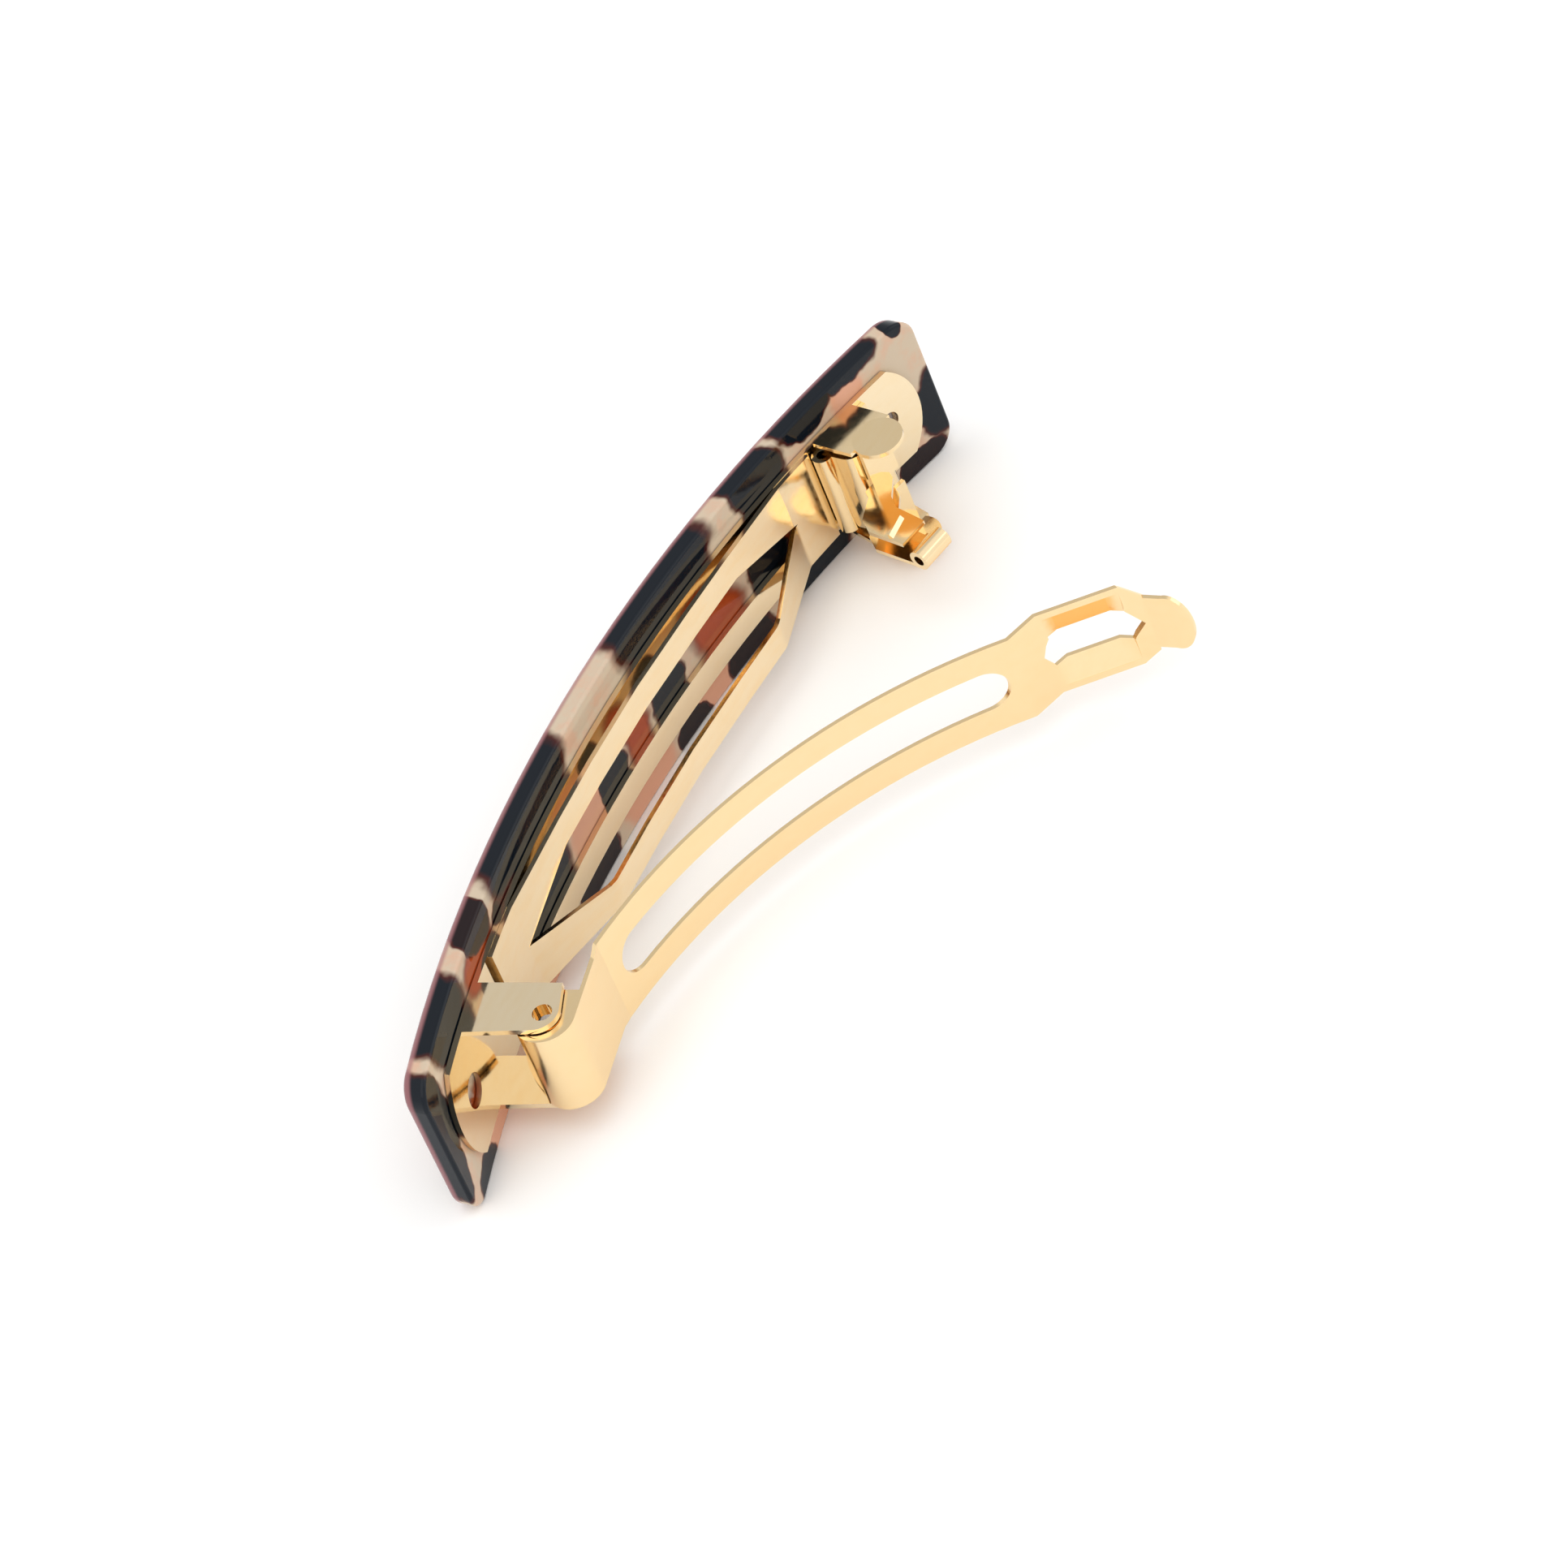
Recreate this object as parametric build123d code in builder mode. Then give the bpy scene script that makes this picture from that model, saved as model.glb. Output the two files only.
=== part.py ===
from build123d import *
import os
from math import cos, degrees, radians, sin

# Automatic French barrette: an arched acetate bar with a stamped sheet-metal clasp on its inner face.
# The barrette stands on its long lower edge. +X runs from the hinge end to the latch end, +Y points out
# of the decorative face, +Z is up, and the clasp and its arm are on the -Y side.
# Positions on the clasp are given as s, the length along the plate's top face from its middle, and
# h, the height above that face towards -Y. Heights z are counted from the barrette's middle plane.

# --- driving dimensions (mm) ---
bar_length = 87.6
bar_width = 15.4
bar_thickness = 2.1
bar_radius = 133.2          # inner face of the arched bar
bar_corner = 2.3
bar_front_round = 0.8
bar_back_round = 0.3

sheet = 0.5                 # base plate
arm_sheet = 0.38
plate_length = 82.6
plate_half = 4.84
plate_slot_half = 2.45
plate_top_radius = 132.6
mid_z = bar_width / 2

pivot_s = -33.55
pivot_h = 6.45
boss_radius = 1.32
boss_bore = 0.85
hinge_clearance = 0.07

bow_sheet = 0.42
bow_high = 4.1              # crown height of the lower rail of the tension bow
bow_low = 1.05              # the upper rail lies almost flat on the plate

arm_half = 4.58
arm_root_half = 4.2
arm_slot_half = 2.05
arm_radius = 53.9
eye_half = 1.65             # half the gap between the two rails of the eye
eye_length = 7.4
eye_roll = 0.8              # the rails' inner edges are rolled this far towards the bar

leaf_sheet = 0.4
leaf_inner = 0.85           # inner face of each catch leaf from the middle plane

arc_centre = (0, -bar_radius - 0.8)


def at(s, h):
    """The XY point at length s along the plate's top face and height h above it."""
    angle = s / plate_top_radius
    reach = plate_top_radius - h
    return (reach * sin(angle), reach * cos(angle) + arc_centre[1])


def on_clasp(points):
    """The XY points of a list of (s, h) pairs."""
    return [at(s, h) for s, h in points]


def level(z):
    """The horizontal plane at height z above the barrette's middle plane."""
    return Plane.XY.offset(mid_z + z)


def save(shape, name):
    shape.label = name
    export_step(shape, f"parts/{name}.step")


os.makedirs("parts", exist_ok=True)
hinge = at(pivot_s, pivot_h)

# --- the acetate bar ---
with BuildPart() as acetate_bar:
    with BuildSketch(Plane.XY):
        with Locations(arc_centre):
            Circle(bar_radius + bar_thickness)
            Circle(bar_radius, mode=Mode.SUBTRACT)
    extrude(amount=bar_width)
    with BuildSketch(Plane.XZ.offset(-10)):
        with Locations((0, mid_z)):
            RectangleRounded(bar_length, bar_width, bar_corner)
    extrude(amount=30, mode=Mode.INTERSECT)
    broad_faces = acetate_bar.faces().sort_by(SortBy.AREA)[-2:].sort_by(Axis.Y)
    fillet(broad_faces[1].outer_wire().edges(), bar_front_round)
    broad_faces = acetate_bar.faces().sort_by(SortBy.AREA)[-2:].sort_by(Axis.Y)
    fillet(broad_faces[0].outer_wire().edges(), bar_back_round)
save(acetate_bar.part, "acetate_bar")

# --- the base plate, with its two hinge ears and their hollow bosses ---
plate_x = plate_length / 2
plate_end_bulge = 2.0
ear_inner = plate_half - sheet
end_holes = [(-37.0, 1.45), (37.9, 0.95)]
ear_outline = on_clasp([(-35.45, -0.2), (-35.45, 8.1), (-30.3, 7.4), (-30.3, -0.2)])

with BuildPart() as base_plate:
    with BuildSketch(Plane.XY):
        with Locations(arc_centre):
            Circle(plate_top_radius + sheet)
            Circle(plate_top_radius, mode=Mode.SUBTRACT)
    extrude(amount=bar_width)
    with BuildSketch(Plane.XZ.offset(-10)):
        with BuildLine():
            side_x = plate_x - plate_end_bulge
            Line((-side_x, mid_z + plate_half), (side_x, mid_z + plate_half))
            ThreePointArc((side_x, mid_z + plate_half), (plate_x, mid_z), (side_x, mid_z - plate_half))
            Line((side_x, mid_z - plate_half), (-side_x, mid_z - plate_half))
            ThreePointArc((-side_x, mid_z - plate_half), (-plate_x, mid_z), (-side_x, mid_z + plate_half))
        make_face()
        with Locations((2.0, mid_z)):
            SlotOverall(48.0, 2 * plate_slot_half, mode=Mode.SUBTRACT)
        for hole_x, hole_radius in end_holes:
            with Locations((hole_x, mid_z)):
                Circle(hole_radius, mode=Mode.SUBTRACT)
    extrude(amount=30, mode=Mode.INTERSECT)
    for side in (1, -1):
        ear_low = ear_inner if side > 0 else -plate_half
        with BuildSketch(level(ear_low)):
            Polygon(*ear_outline, align=None)
            tips = vertices().sort_by(Axis.Y)[:2].sort_by(Axis.X)
            fillet(tips[0], 1.9)
            fillet(tips[1], 0.5)
        extrude(amount=sheet)
        with BuildSketch(level(ear_low if side > 0 else ear_low + sheet)):
            with Locations(hinge):
                Circle(boss_radius)
        extrude(amount=-side * 0.75)
        with BuildSketch(level(side * (plate_half + 0.5))):
            with Locations(hinge):
                Circle(boss_bore)
        extrude(amount=-side * 2.5, mode=Mode.SUBTRACT)
save(base_plate.part, "base_plate")

# --- the tension bow: two rails over the plate's slot, on a root and a foot that lie on the plate ---
bow_half = plate_half - 0.04
bow_rail = 2.6
bow_gap = 0.02
bow_slot_half = bow_half - bow_rail
bow_slot_s = (-22.3, -13.2, 17.0, 25.6)     # the slot runs to a point at both ends


def rail_profile(crown):
    """The bow's side view, from its root to its foot, as (s, h) of its under side."""
    low = bow_gap
    return on_clasp([(-24.0, low), (-22.4, low), (-12.8, crown - bow_sheet), (-6.4, crown - 0.25),
                     (2.0, crown - 0.2), (10.4, crown - 0.2), (16.6, crown - bow_sheet), (25.2, low), (26.5, low)])


with BuildPart() as tension_bow:
    for side, crown in ((1, bow_low), (-1, bow_high)):
        with BuildSketch(level(0 if side > 0 else -bow_half)):
            with BuildLine():
                FilletPolyline(*rail_profile(crown), radius=1.2)
                offset(amount=bow_sheet, side=Side.RIGHT)
            make_face()
        extrude(amount=bow_half)
    with BuildSketch(Plane.XZ.offset(-10)):
        with BuildLine():
            slot_x = [at(s, 0)[0] for s in bow_slot_s]
            Polyline((slot_x[0], mid_z), (slot_x[1], mid_z + bow_slot_half), (slot_x[2], mid_z + bow_slot_half),
                     (slot_x[3], mid_z), (slot_x[2], mid_z - bow_slot_half), (slot_x[1], mid_z - bow_slot_half),
                     close=True)
        make_face()
    extrude(amount=30, mode=Mode.SUBTRACT)
    for start, end in ((-27.6, -23.2), (25.8, 29.3)):
        with BuildSketch(level(-bow_half)):
            with BuildLine():
                inner = ThreePointArc(*on_clasp([(start, bow_gap), ((start + end) / 2, bow_gap), (end, bow_gap)]))
                upper = [(start, bow_gap + bow_sheet), ((start + end) / 2, bow_gap + bow_sheet),
                         (end, bow_gap + bow_sheet)]
                outer = ThreePointArc(*on_clasp(upper))
                Line(inner @ 0, outer @ 0)
                Line(inner @ 1, outer @ 1)
            make_face()
        extrude(amount=2 * bow_half)
save(tension_bow.part, "tension_bow")

# --- the clasp arm: a slotted strip bent to an arc, with cheeks at its root, an eye and a thumb tip ---
arm_centre = (hinge[0] + 3.9, hinge[1] - 54.45)
web_radius = arm_radius + arm_sheet / 2


def on_arc(angle):
    """A point on the arm's arc, at an angle in degrees from straight above its centre."""
    return (arm_centre[0] + web_radius * sin(radians(angle)), arm_centre[1] + web_radius * cos(radians(angle)))


def step(point, heading, distance):
    """The point at a distance along a heading in degrees."""
    return (point[0] + distance * cos(radians(heading)), point[1] + distance * sin(radians(heading)))


eye_heading = -51.3
wrap_inner = 2.2            # the root is wrapped round the pivot
wrap_tail = 135.0           # heading of the wrap's free end from the pivot
wrap_top = 284.5
root_end = step(hinge, wrap_top, wrap_inner)
root_bend = on_arc(4.0)
kink = on_arc(50.2)
eye_start = step(kink, -20.0, 3.1)
eye_end = step(eye_start, eye_heading, eye_length)
tip_start = step(eye_end, -67.0, 1.6)
tip_heading = -82.0

# The planform lies on a plane square to the arm's chord, with its x axis along the chord.
chord_heading = -25.2
chord_plane = Plane(origin=(*hinge, mid_z), x_dir=(*step((0, 0), chord_heading, 1), 0),
                    z_dir=(*step((0, 0), chord_heading - 90, 1), 0))


def rail_plane(distance):
    """The plane across the eye at a distance from its start, with x up and y away from the bar."""
    return Plane(origin=(*step(eye_start, eye_heading, distance), mid_z), x_dir=(0, 0, 1),
                 z_dir=(*step((0, 0), eye_heading, 1), 0))


def along(point):
    """Length of a point from the hinge along the arm's chord."""
    return chord_plane.to_local_coords(Vector(*point, mid_z)).X


root_x = -wrap_inner - 1.0
waist_x = along(root_bend) - 0.8
eye_x = along(eye_start)
eye_far_x = along(eye_end)
tip_x = along(tip_start) + 0.05
tip_half = 2.95
lobe_length = 3.7
lobe_half = 3.0
arm_slot_x = (along(on_arc(5.9)), along(on_arc(49.0)))
eye_margin = 0.65           # flat outer strip of each eye rail
rail_inner = arm_half - eye_margin

cheek_sheet = 0.45
cheek_front = on_clasp([(-35.75, 6.0), (-33.7, 3.3), (-30.5, 1.4)])
cheek_back = on_clasp([(-30.5, 1.4), (-28.2, 4.2), (-27.4, 7.8)])
cheek_round = on_clasp([(-33.6, 8.85), (-35.3, 8.1), (-35.75, 6.0)])

with BuildPart() as clasp_arm:
    with BuildSketch(level(-arm_half)):
        with BuildLine():
            ThreePointArc(step(hinge, wrap_tail, wrap_inner), step(hinge, (wrap_tail + wrap_top) / 2, wrap_inner),
                          root_end)
            Line(root_end, root_bend)
            ThreePointArc(root_bend, on_arc(27), kink)
            Polyline(kink, eye_start, eye_end, tip_start)
            offset(amount=arm_sheet, side=Side.RIGHT)
        make_face()
    extrude(amount=2 * arm_half)
    with BuildSketch(chord_plane):
        with BuildLine():
            Polyline((root_x, 0), (root_x, arm_root_half), (waist_x, arm_root_half), (waist_x + 0.9, arm_half),
                     (eye_far_x - 0.3, arm_half), (tip_x, tip_half), (tip_x, 0))
            mirror(about=Plane.XZ)
        make_face()
        with Locations(((arm_slot_x[0] + arm_slot_x[1]) / 2, 0)):
            SlotOverall(arm_slot_x[1] - arm_slot_x[0], 2 * arm_slot_half, mode=Mode.SUBTRACT)
        with BuildLine():
            Polyline((eye_x - 0.6, 0), (eye_x + 0.3, eye_half), (eye_x + 0.3, rail_inner),
                     (eye_far_x - 0.4, rail_inner), (eye_far_x - 0.4, eye_half), (eye_far_x + 0.6, 0))
            mirror(about=Plane.XZ)
        make_face(mode=Mode.SUBTRACT)
    extrude(amount=60, both=True, mode=Mode.INTERSECT)
    # the eye's rails, rolled towards the bar along their inner edges and flattening out at both ends
    for side in (1, -1):
        for span in ((0, 1.4), (1.4, eye_length - 1.4), (eye_length - 1.4, eye_length)):
            for distance in span:
                roll = eye_roll if 0 < distance < eye_length else 0.0
                with BuildSketch(rail_plane(distance)):
                    with BuildLine():
                        Polyline((side * (rail_inner + 0.05), arm_sheet), (side * eye_half, arm_sheet - roll),
                                 (side * eye_half, -roll), (side * (rail_inner + 0.05), 0), close=True)
                    make_face()
            loft()
    # the rounded thumb tip, bent further away from the bar
    with BuildSketch(Plane(origin=(*tip_start, mid_z), x_dir=(*step((0, 0), tip_heading, 1), 0),
                           z_dir=(*step((0, 0), tip_heading - 90, 1), 0))):
        with Locations((0.75, 0)):
            Rectangle(1.9, 2 * tip_half)
        with Locations((lobe_length / 2 + 0.1, 0)):
            Ellipse(lobe_length / 2, lobe_half)
    extrude(amount=arm_sheet)
    # the cheeks that stand on the bosses between the ears, the lower one reaching further along the arm
    for side in (1, -1):
        with BuildSketch(level(arm_root_half - cheek_sheet if side > 0 else -arm_root_half)):
            with BuildLine():
                ThreePointArc(*cheek_front)
                if side < 0:
                    ThreePointArc(*cheek_back)
                Polyline(cheek_front[2] if side > 0 else cheek_back[2], at(-30.5 if side > 0 else -27.4, 8.8),
                         cheek_round[0])
                ThreePointArc(*cheek_round)
            make_face()
            with Locations(hinge):
                Circle(boss_radius + hinge_clearance, mode=Mode.SUBTRACT)
        extrude(amount=cheek_sheet)
save(clasp_arm.part, "clasp_arm")

# --- the catch: a bridge fixed to the plate and two sprung leaves that are pinched together ---
bridge_sheet = 0.45
bridge_half = 4.3
bridge_path = on_clasp([(30.7, 1.0), (31.2, 3.7), (34.6, 3.7), (35.0, 0.02), (36.6, 0.02)])
hem = at(30.25, 1.05)
hem_radius = 0.95

with BuildPart() as catch_bridge:
    with BuildSketch(level(-bridge_half)):
        with BuildLine():
            FilletPolyline(*bridge_path, radius=0.9)
            offset(amount=bridge_sheet, side=Side.RIGHT)
        make_face()
    extrude(amount=2 * bridge_half)
    # the hem rolled along the bridge's edge next to the bow's foot
    with BuildSketch(level(-bridge_half)):
        with Locations(hem):
            Circle(hem_radius)
            Circle(hem_radius - bridge_sheet, mode=Mode.SUBTRACT)
    extrude(amount=2 * bridge_half)
save(catch_bridge.part, "catch_bridge")

shelf_h = 4.7
wing_inner = plate_half + 0.06
leaf_outer = leaf_inner + leaf_sheet
barb_out = 1.5
blade = [(33.4, shelf_h), (32.9, 5.8), (31.0, 7.2), (30.2, 8.4), (30.0, 11.7), (26.8, 11.7), (26.7, 8.0),
         (27.6, 6.6), (30.0, 5.4), (30.4, shelf_h)]
wing_lean = 0.9
wing_length = 5.0
wing_ends = ((0.35, wing_inner), (shelf_h + leaf_sheet, wing_inner + wing_lean))
pad_centre = at(32.9, 5.9)
pad_radius = 2.2
shelf_corners = on_clasp([(31.2, shelf_h), (31.2, shelf_h + leaf_sheet), (34.4, shelf_h + leaf_sheet),
                          (34.4, shelf_h)])
barb_corners = on_clasp([(27.0, 9.95), (27.0, 10.7), (29.4, 10.1), (29.4, 9.35)])

for name, side in (("catch_leaf_upper", 1), ("catch_leaf_lower", -1)):
    with BuildPart() as catch_leaf:
        with BuildSketch(level(leaf_inner if side > 0 else -leaf_outer)):
            Polygon(*on_clasp(blade), align=None)
        extrude(amount=leaf_sheet)
        # the wing leans outwards from the plate's edge and ends in a round finger pad
        for h, z in wing_ends:
            with BuildSketch(Plane(origin=(*at(32.8, h), mid_z + side * (z + leaf_sheet / 2)), x_dir=(0, 0, 1),
                                   z_dir=(*step((0, 0), -90 - degrees(32.8 / plate_top_radius), 1), 0))):
                Rectangle(leaf_sheet, wing_length)
        loft()
        with BuildSketch(level(side * (wing_inner + wing_lean))):
            with Locations(pad_centre):
                Circle(pad_radius)
        extrude(amount=side * leaf_sheet)
        with BuildSketch(level(side * leaf_inner)):
            Polygon(*shelf_corners, align=None)
        extrude(amount=side * (wing_inner + wing_lean + leaf_sheet / 2 - leaf_inner))
        # the barb that holds the eye's rail down, sloped on top so the arm snaps over it
        with BuildSketch(level(side * (leaf_outer - 0.1))):
            Polygon(*barb_corners, align=None)
        with BuildSketch(level(side * barb_out)):
            Polygon(*on_clasp([(27.0, 9.95), (27.0, 10.15), (29.4, 9.55), (29.4, 9.35)]), align=None)
        loft()
        if side < 0:
            # the lower leaf's end is rolled over the other one
            with BuildSketch(Plane(origin=(*at(26.8, 12.95), mid_z - 0.3), x_dir=(0, 0, 1),
                                   z_dir=(*step((0, 0), -degrees(28.3 / plate_top_radius), 1), 0))):
                Circle(0.95)
                Circle(0.5, mode=Mode.SUBTRACT)
                with Locations((-0.75, -0.85)):
                    Rectangle(0.4, 2.2)
            extrude(amount=3.2)
    save(catch_leaf.part, name)

# --- the two films of adhesive between the plate and the bar ---
film = bar_radius - plate_top_radius - sheet
for name, film_s in (("hinge_end_adhesive", -31.8), ("latch_end_adhesive", 32.4)):
    with BuildPart() as adhesive:
        with BuildSketch(level(-3.6)):
            with BuildLine():
                ends = [(film_s - 3.6, -sheet), (film_s, -sheet), (film_s + 3.6, -sheet)]
                top = ThreePointArc(*on_clasp(ends))
                under = ThreePointArc(*on_clasp([(s, -sheet - film) for s, h in ends]))
                Line(top @ 0, under @ 0)
                Line(top @ 1, under @ 1)
            make_face()
        extrude(amount=7.2)
    save(adhesive.part, name)
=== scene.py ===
from math import radians

import bpy
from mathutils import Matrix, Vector


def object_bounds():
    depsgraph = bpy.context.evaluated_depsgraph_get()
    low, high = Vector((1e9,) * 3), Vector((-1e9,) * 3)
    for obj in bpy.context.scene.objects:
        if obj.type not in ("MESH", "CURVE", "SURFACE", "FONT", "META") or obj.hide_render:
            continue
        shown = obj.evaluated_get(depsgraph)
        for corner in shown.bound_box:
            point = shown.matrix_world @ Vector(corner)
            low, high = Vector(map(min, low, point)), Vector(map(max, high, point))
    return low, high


# An arched tortoiseshell-acetate barrette with a pale-gold sheet-metal clasp, standing on its long edge.
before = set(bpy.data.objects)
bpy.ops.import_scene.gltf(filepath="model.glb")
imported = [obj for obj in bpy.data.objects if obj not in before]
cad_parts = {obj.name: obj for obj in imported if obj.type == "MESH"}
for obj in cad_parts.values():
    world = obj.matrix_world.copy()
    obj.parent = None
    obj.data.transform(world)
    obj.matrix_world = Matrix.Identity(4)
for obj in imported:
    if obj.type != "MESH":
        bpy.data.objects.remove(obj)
cad_low, cad_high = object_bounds()
MM = 0.001
ARC_CENTRE_Y = -134.0       # mm, centre of the bar's arc
FACE_RADIUS = 133.2         # mm, the bar's inner face
BAR_THICKNESS = 2.1
FRONT_RADIUS = FACE_RADIUS + BAR_THICKNESS
RIM_STARTS = 0.95           # mm under the front face, where the rim's tint begins
RIM_IS_FULL = 0.55

CAMERA_PLACE = (-347.73, -357.70, 478.44)   # mm
CAMERA_TURN = (43.431, 16.617, -62.282)     # degrees
CAMERA_ANGLE = 10.774                       # degrees
LIT_TOWARD = (0, -0.015, 0.008)             # m, the point both lamps face
FLOOR_HALF = 1.6                            # m
FLOOR_GAP = 0.02                            # mm between the standing edge and the floor

WORLD_STRENGTH = 1.05
GREY_PATCH_STRENGTH = 0.69
GREY_PATCH_TOWARD = (0.50, 0.50, 0.70)
GREY_PATCH_EDGES = (0.80, 0.97)             # cosine to the patch's middle, outside and inside


# --- small helpers for node materials ---
class Graph:
    """A material's node tree, with one-line ways to add nodes."""

    def __init__(self, name):
        self.material = bpy.data.materials.new(name)
        self.material.use_nodes = True
        self.tree = self.material.node_tree
        self.tree.nodes.clear()
        self.output = self.tree.nodes.new("ShaderNodeOutputMaterial")

    def add(self, kind, inputs=None, out=0, **settings):
        node = self.tree.nodes.new(kind)
        for key, value in settings.items():
            setattr(node, key, value)
        for key, value in (inputs or {}).items():
            if isinstance(value, bpy.types.NodeSocket):
                self.tree.links.new(value, node.inputs[key])
            else:
                node.inputs[key].default_value = value
        return node.outputs[out]

    def math(self, operation, a, b):
        return self.add("ShaderNodeMath", {0: a, 1: b}, operation=operation)

    def vector(self, operation, a, b=(0, 0, 0)):
        out = 1 if operation in ("LENGTH", "DISTANCE", "DOT_PRODUCT") else 0
        return self.add("ShaderNodeVectorMath", {0: a, 1: b}, out=out, operation=operation)

    def ramp(self, value, low, high, to_low=0.0, to_high=1.0, smooth=True):
        kind = "SMOOTHSTEP" if smooth else "LINEAR"
        return self.add("ShaderNodeMapRange", {0: value, 1: low, 2: high, 3: to_low, 4: to_high},
                        interpolation_type=kind)

    def mix(self, factor, a, b, blend="MIX"):
        node = self.tree.nodes.new("ShaderNodeMix")
        node.data_type = "RGBA"
        node.blend_type = blend
        for index, value in ((0, factor), (6, a), (7, b)):
            if isinstance(value, bpy.types.NodeSocket):
                self.tree.links.new(value, node.inputs[index])
            else:
                node.inputs[index].default_value = value if index == 0 else (*value, 1)
        return node.outputs[2]

    def noise(self, place, scale, detail=2.0, roughness=0.5, out=0):
        return self.add("ShaderNodeTexNoise", {"Vector": place, "Scale": scale, "Detail": detail,
                                               "Roughness": roughness}, out=out)

    def place(self):
        """The row frame's position, in mm."""
        point = self.add("ShaderNodeTexCoord", out=3)
        return self.vector("MULTIPLY", point, (1000, 1000, 1000))

    def finish(self, **sockets):
        shader = self.tree.nodes.new("ShaderNodeBsdfPrincipled")
        for key, value in sockets.items():
            socket = shader.inputs[key.replace("_", " ")]
            if isinstance(value, bpy.types.NodeSocket):
                self.tree.links.new(value, socket)
            else:
                socket.default_value = value
        self.tree.links.new(shader.outputs[0], self.output.inputs[0])
        return self.material


# --- tortoiseshell acetate ---
# Patches run right through the sheet. Each is (x, z, half length, half height) in mm.
BLUE_BLACK = (0.006, 0.009, 0.014)
BLACK_RED = (0.014, 0.007, 0.008)
RED_BROWN = (0.070, 0.014, 0.010)
RUST = (0.36, 0.058, 0.014)
SALMON = (0.67, 0.35, 0.23)
CREAM = (0.57, 0.465, 0.345)
SMOKE = (0.33, 0.30, 0.31)

RUST_PATCHES = [(14.5, 6.5, 4.5, 3.8), (1.5, 6.3, 2.6, 3.5), (24.5, 6.0, 3.0, 3.0), (-28.0, 12.6, 4.5, 2.6),
                (-36, 5.0, 4.0, 3.0)]
SALMON_PATCHES = [(-7.5, 6.4, 3.6, 3.2), (11.0, 1.0, 4.4, 2.2), (0.5, 1.6, 5.0, 3.0), (-33.8, 0.6, 4.5, 2.6),
                  (35.3, 12.9, 2.1, 2.3), (-19.0, 0.8, 3.6, 2.6)]
SMOKE_PATCHES = [(-38.6, 6.8, 2.4, 2.2), (-31.5, 9.6, 2.8, 1.4), (38.8, 7.4, 2.2, 2.6)]
DARK_PATCHES = [(42.3, 15.1, 1.0, 1.2), (36.8, 15.8, 3.6, 2.3), (31.2, 15.2, 3.4, 1.9),
                (24.2, 14.2, 3.8, 3.2), (10.3, 14.6, 8.0, 4.0), (-14.5, 14.8, 8.3, 4.0),
                (-35.8, 14.8, 4.6, 3.8), (-43.2, 11.0, 2.6, 5.6),
                (-43.6, 4.6, 1.9, 2.9), (43.6, 5.4, 2.6, 4.0), (21.6, 6.0, 2.5, 2.8), (6.7, 6.6, 2.6, 3.0),
                (-3.0, 6.6, 2.2, 3.2), (-18.0, 6.8, 7.0, 4.0), (26.8, 0.8, 4.6, 2.8), (-39.2, 0.2, 2.6, 1.9)]
BROWN_PATCHES = [(17.2, 0.8, 3.2, 2.2), (8.0, 0.6, 2.3, 2.2), (-9.0, 1.2, 3.6, 3.0), (-26.3, 15.4, 2.6, 2.6),
                 (40.2, 0.8, 3.0, 1.8), (-24.5, 1.0, 3.0, 2.5), (-22.5, 12.0, 2.2, 2.0)]


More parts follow.
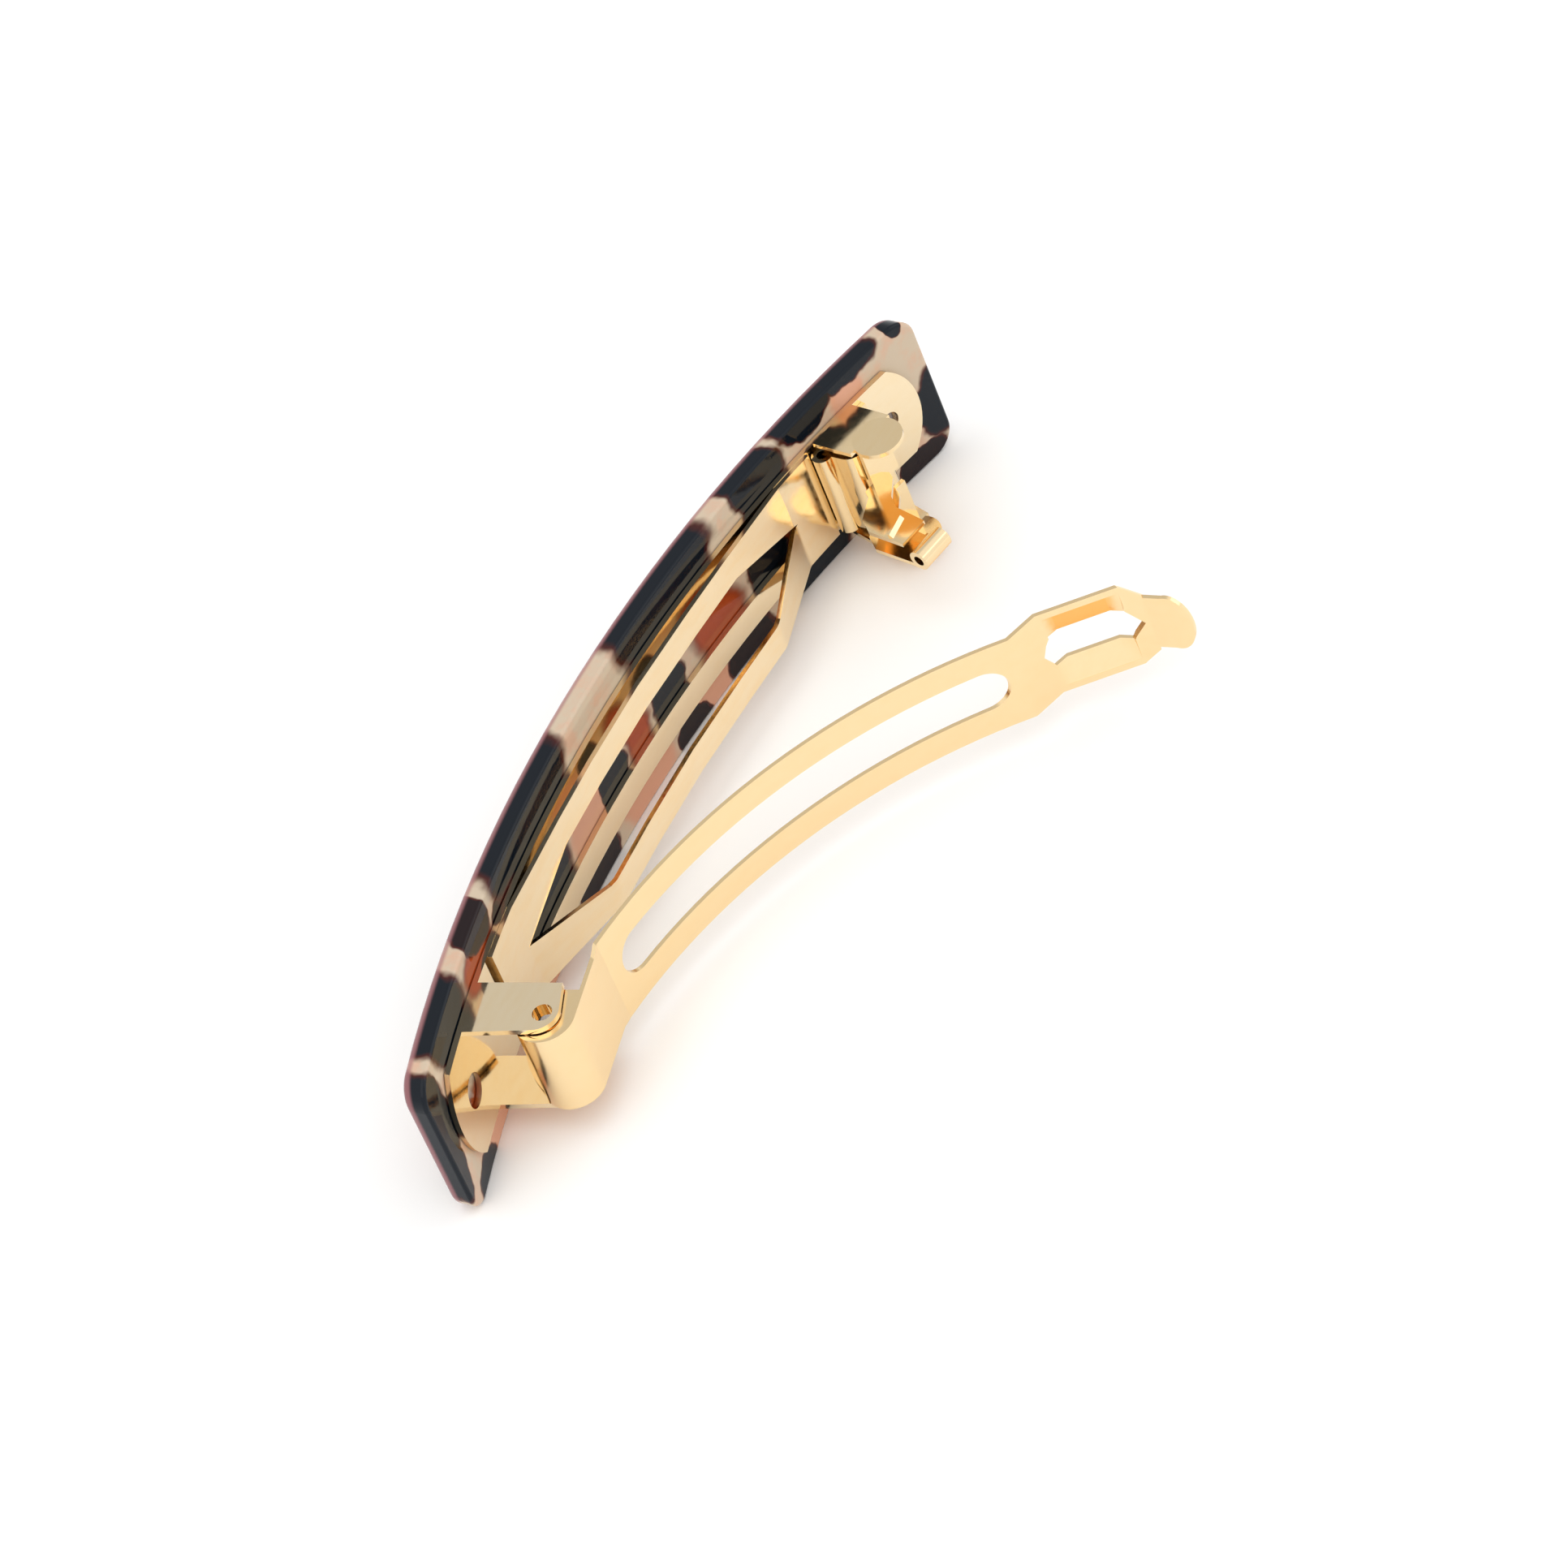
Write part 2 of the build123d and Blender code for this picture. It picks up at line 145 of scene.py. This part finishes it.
def acetate():
    g = Graph("tortoiseshell_acetate")
    place = g.place()
    wander = g.vector("SUBTRACT", g.noise(place, 0.22, 3.0, 0.55, out=1), (0.5, 0.5, 0.5))
    wander = g.vector("MULTIPLY", wander, (3.2, 0.0, 3.2))
    flat = g.vector("MULTIPLY", g.vector("ADD", place, wander), (1, 0, 1))
    mottle = g.noise(place, 0.35, 4.0, 0.6)
    colour = g.mix(g.ramp(mottle, 0.42, 0.66), CREAM, tuple(0.5 * (a + b) for a, b in zip(CREAM, SALMON)))

    def patches(colour, listed, fill, rim, soft=0.12):
        """Lays a set of patches over the colour, each with a thin rim of another colour."""
        nearest = None
        for x, z, half_x, half_z in listed:
            offset = g.vector("SUBTRACT", flat, (x, 0, z))
            reach = g.vector("LENGTH", g.vector("DIVIDE", offset, (half_x, 1, half_z)))
            nearest = reach if nearest is None else g.math("MINIMUM", nearest, reach)
        colour = g.mix(g.ramp(nearest, 1.06, 1.06 - soft), colour, rim)
        return g.mix(g.ramp(nearest, 0.97, 0.97 - soft), colour, fill)

    colour = patches(colour, SALMON_PATCHES, SALMON, SALMON, 0.35)
    colour = patches(colour, SMOKE_PATCHES, SMOKE, SMOKE, 0.40)
    colour = patches(colour, RUST_PATCHES, RUST, RED_BROWN, 0.45)
    colour = patches(colour, BROWN_PATCHES, BLACK_RED, RED_BROWN, 0.10)
    colour = patches(colour, DARK_PATCHES, BLUE_BLACK, RED_BROWN, 0.14)
    # the clear outer layer of the sheet glows mauve along the front rim, but not on the front face itself
    from_centre = g.vector("MULTIPLY", g.vector("SUBTRACT", place, (0, ARC_CENTRE_Y, 0)), (1, 1, 0))
    depth = g.math("SUBTRACT", FRONT_RADIUS, g.vector("LENGTH", from_centre))
    outward = g.vector("DOT_PRODUCT", g.vector("NORMALIZE", from_centre), g.add("ShaderNodeTexCoord", out=1))
    rim = g.ramp(depth, RIM_STARTS, RIM_IS_FULL, 0.0, 0.72)
    rim = g.math("MULTIPLY", rim, g.ramp(outward, 0.97, 0.80))
    colour = g.mix(rim, colour, (0.36, 0.15, 0.16))
    bump = g.add("ShaderNodeBump", {"Strength": 0.04, "Distance": 0.0002, "Height": g.noise(place, 0.6, 1.0)})
    gloss = g.ramp(g.noise(place, 1.5, 3.0), 0.3, 0.8, 0.05, 0.11, smooth=False)
    return g.finish(Base_Color=colour, Roughness=gloss, Normal=bump, IOR=1.49, Specular_IOR_Level=0.2)


# --- pale-gold plated sheet ---
# painted shade: a deeper orange laid onto downward-facing faces, not a colour the plating has
UNDERSIDE_SHADE_ORANGE = (0.93, 0.48, 0.10)


def plated(name, colour, edge, rough, wave, underside_shade_strength=1.0):
    g = Graph(name)
    place = g.place()
    stretched = g.vector("MULTIPLY", place, (0.25, 1.0, 1.0))
    drawn = g.noise(stretched, 1.1, 4.0, 0.6)
    tone = g.mix(g.ramp(drawn, 0.35, 0.75), colour, edge)
    normal = g.add("ShaderNodeTexCoord", out=1)
    upward = g.add("ShaderNodeSeparateXYZ", {0: normal}, out=2)
    # faces tilting downward are painted towards the deeper orange as painted shade
    tone = g.mix(g.ramp(upward, -0.12, -0.36, 0.0, underside_shade_strength), tone, UNDERSIDE_SHADE_ORANGE)
    gloss = g.ramp(g.noise(place, 2.2, 4.0), 0.3, 0.8, rough, rough + 0.07, smooth=False)
    ripple = g.noise(place, 0.16, 2.0)
    bump = g.add("ShaderNodeBump", {"Strength": wave, "Distance": 0.0003, "Height": ripple})
    return g.finish(Base_Color=tone, Metallic=1.0, Roughness=gloss, Normal=bump)


def adhesive():
    g = Graph("set_adhesive")
    place = g.place()
    tone = g.mix(g.noise(place, 1.5, 3.0), (0.75, 0.72, 0.60), (0.85, 0.83, 0.74))
    return g.finish(Base_Color=tone, Roughness=0.15, IOR=1.5)


PALE = (0.900, 0.700, 0.430)
finishes = {
    "acetate_bar": acetate(),
    "base_plate": plated("plate_gold", (0.900, 0.745, 0.510), (0.895, 0.725, 0.475), 0.06, 0.10),
    "tension_bow": plated("bow_gold", (0.905, 0.735, 0.490), PALE, 0.08, 0.12),
    "catch_bridge": plated("bridge_gold", (0.910, 0.710, 0.420), (0.905, 0.695, 0.400), 0.09, 0.08, 0.6),
    "catch_leaf_upper": plated("catch_gold", (0.905, 0.710, 0.430), (0.900, 0.690, 0.400), 0.10, 0.08, 0.6),
    "clasp_arm": plated("arm_gold", (0.915, 0.700, 0.405), (0.910, 0.685, 0.385), 0.16, 0.12),
    "hinge_end_adhesive": adhesive(),
}
finishes["catch_leaf_lower"] = finishes["catch_leaf_upper"]
finishes["latch_end_adhesive"] = finishes["hinge_end_adhesive"]
for name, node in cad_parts.items():
    for slot in node.material_slots:
        slot.material = finishes[name]


# --- floor, light and camera ---
def floor():
    corners = [(x * FLOOR_HALF, y * FLOOR_HALF, 0) for x, y in ((-1, -1), (1, -1), (1, 1), (-1, 1))]
    mesh = bpy.data.meshes.new("floor")
    mesh.from_pydata(corners, [], [(0, 1, 2, 3)])
    piece = bpy.data.objects.new("floor", mesh)
    bpy.context.scene.collection.objects.link(piece)
    piece.location.z = cad_low.z - FLOOR_GAP * MM
    g = Graph("pale_floor")
    tone = g.mix(g.noise(g.place(), 0.02, 2.0), (0.95, 0.95, 0.945), (0.965, 0.965, 0.96))
    piece.data.materials.append(g.finish(Base_Color=tone, Roughness=0.9, Specular_IOR_Level=0.1))


def area_light(name, position, size, power):
    light = bpy.data.lights.new(name, "AREA")
    light.size = size
    light.energy = power
    lamp = bpy.data.objects.new(name, light)
    bpy.context.scene.collection.objects.link(lamp)
    lamp.location = position
    lamp.rotation_euler = (Vector(LIT_TOWARD) - Vector(position)).to_track_quat("-Z", "Y").to_euler()


def surroundings():
    world = bpy.data.worlds.new("studio")
    world.use_nodes = True
    bpy.context.scene.world = world
    tree = world.node_tree
    backdrop = tree.nodes["Background"]
    coords = tree.nodes.new("ShaderNodeTexCoord")
    toward = tree.nodes.new("ShaderNodeVectorMath")
    toward.operation = "DOT_PRODUCT"
    toward.inputs[1].default_value = Vector(GREY_PATCH_TOWARD).normalized()
    tree.links.new(coords.outputs["Generated"], toward.inputs[0])
    band = tree.nodes.new("ShaderNodeMapRange")
    band.interpolation_type = "SMOOTHSTEP"
    values = (*GREY_PATCH_EDGES, WORLD_STRENGTH, GREY_PATCH_STRENGTH)
    for index, value in enumerate(values, start=1):
        band.inputs[index].default_value = value
    tree.links.new(toward.outputs["Value"], band.inputs[0])
    tree.links.new(band.outputs[0], backdrop.inputs["Strength"])
    backdrop.inputs["Color"].default_value = (1, 1, 1, 1)


floor()
surroundings()
area_light("key", (-0.25, -0.10, 0.60), 0.8, 1.3)
area_light("fill", (0.45, -0.50, 0.35), 0.5, 0.5)

camera = bpy.data.objects.new("camera", bpy.data.cameras.new("camera"))
bpy.context.scene.collection.objects.link(camera)
camera.location = Vector(CAMERA_PLACE) * MM
camera.rotation_euler = [radians(turn) for turn in CAMERA_TURN]
camera.data.angle = radians(CAMERA_ANGLE)
camera.data.clip_start = 0.01
bpy.context.scene.camera = camera
bpy.context.scene.view_settings.view_transform = "Standard"
bpy.context.scene.view_settings.look = "None"
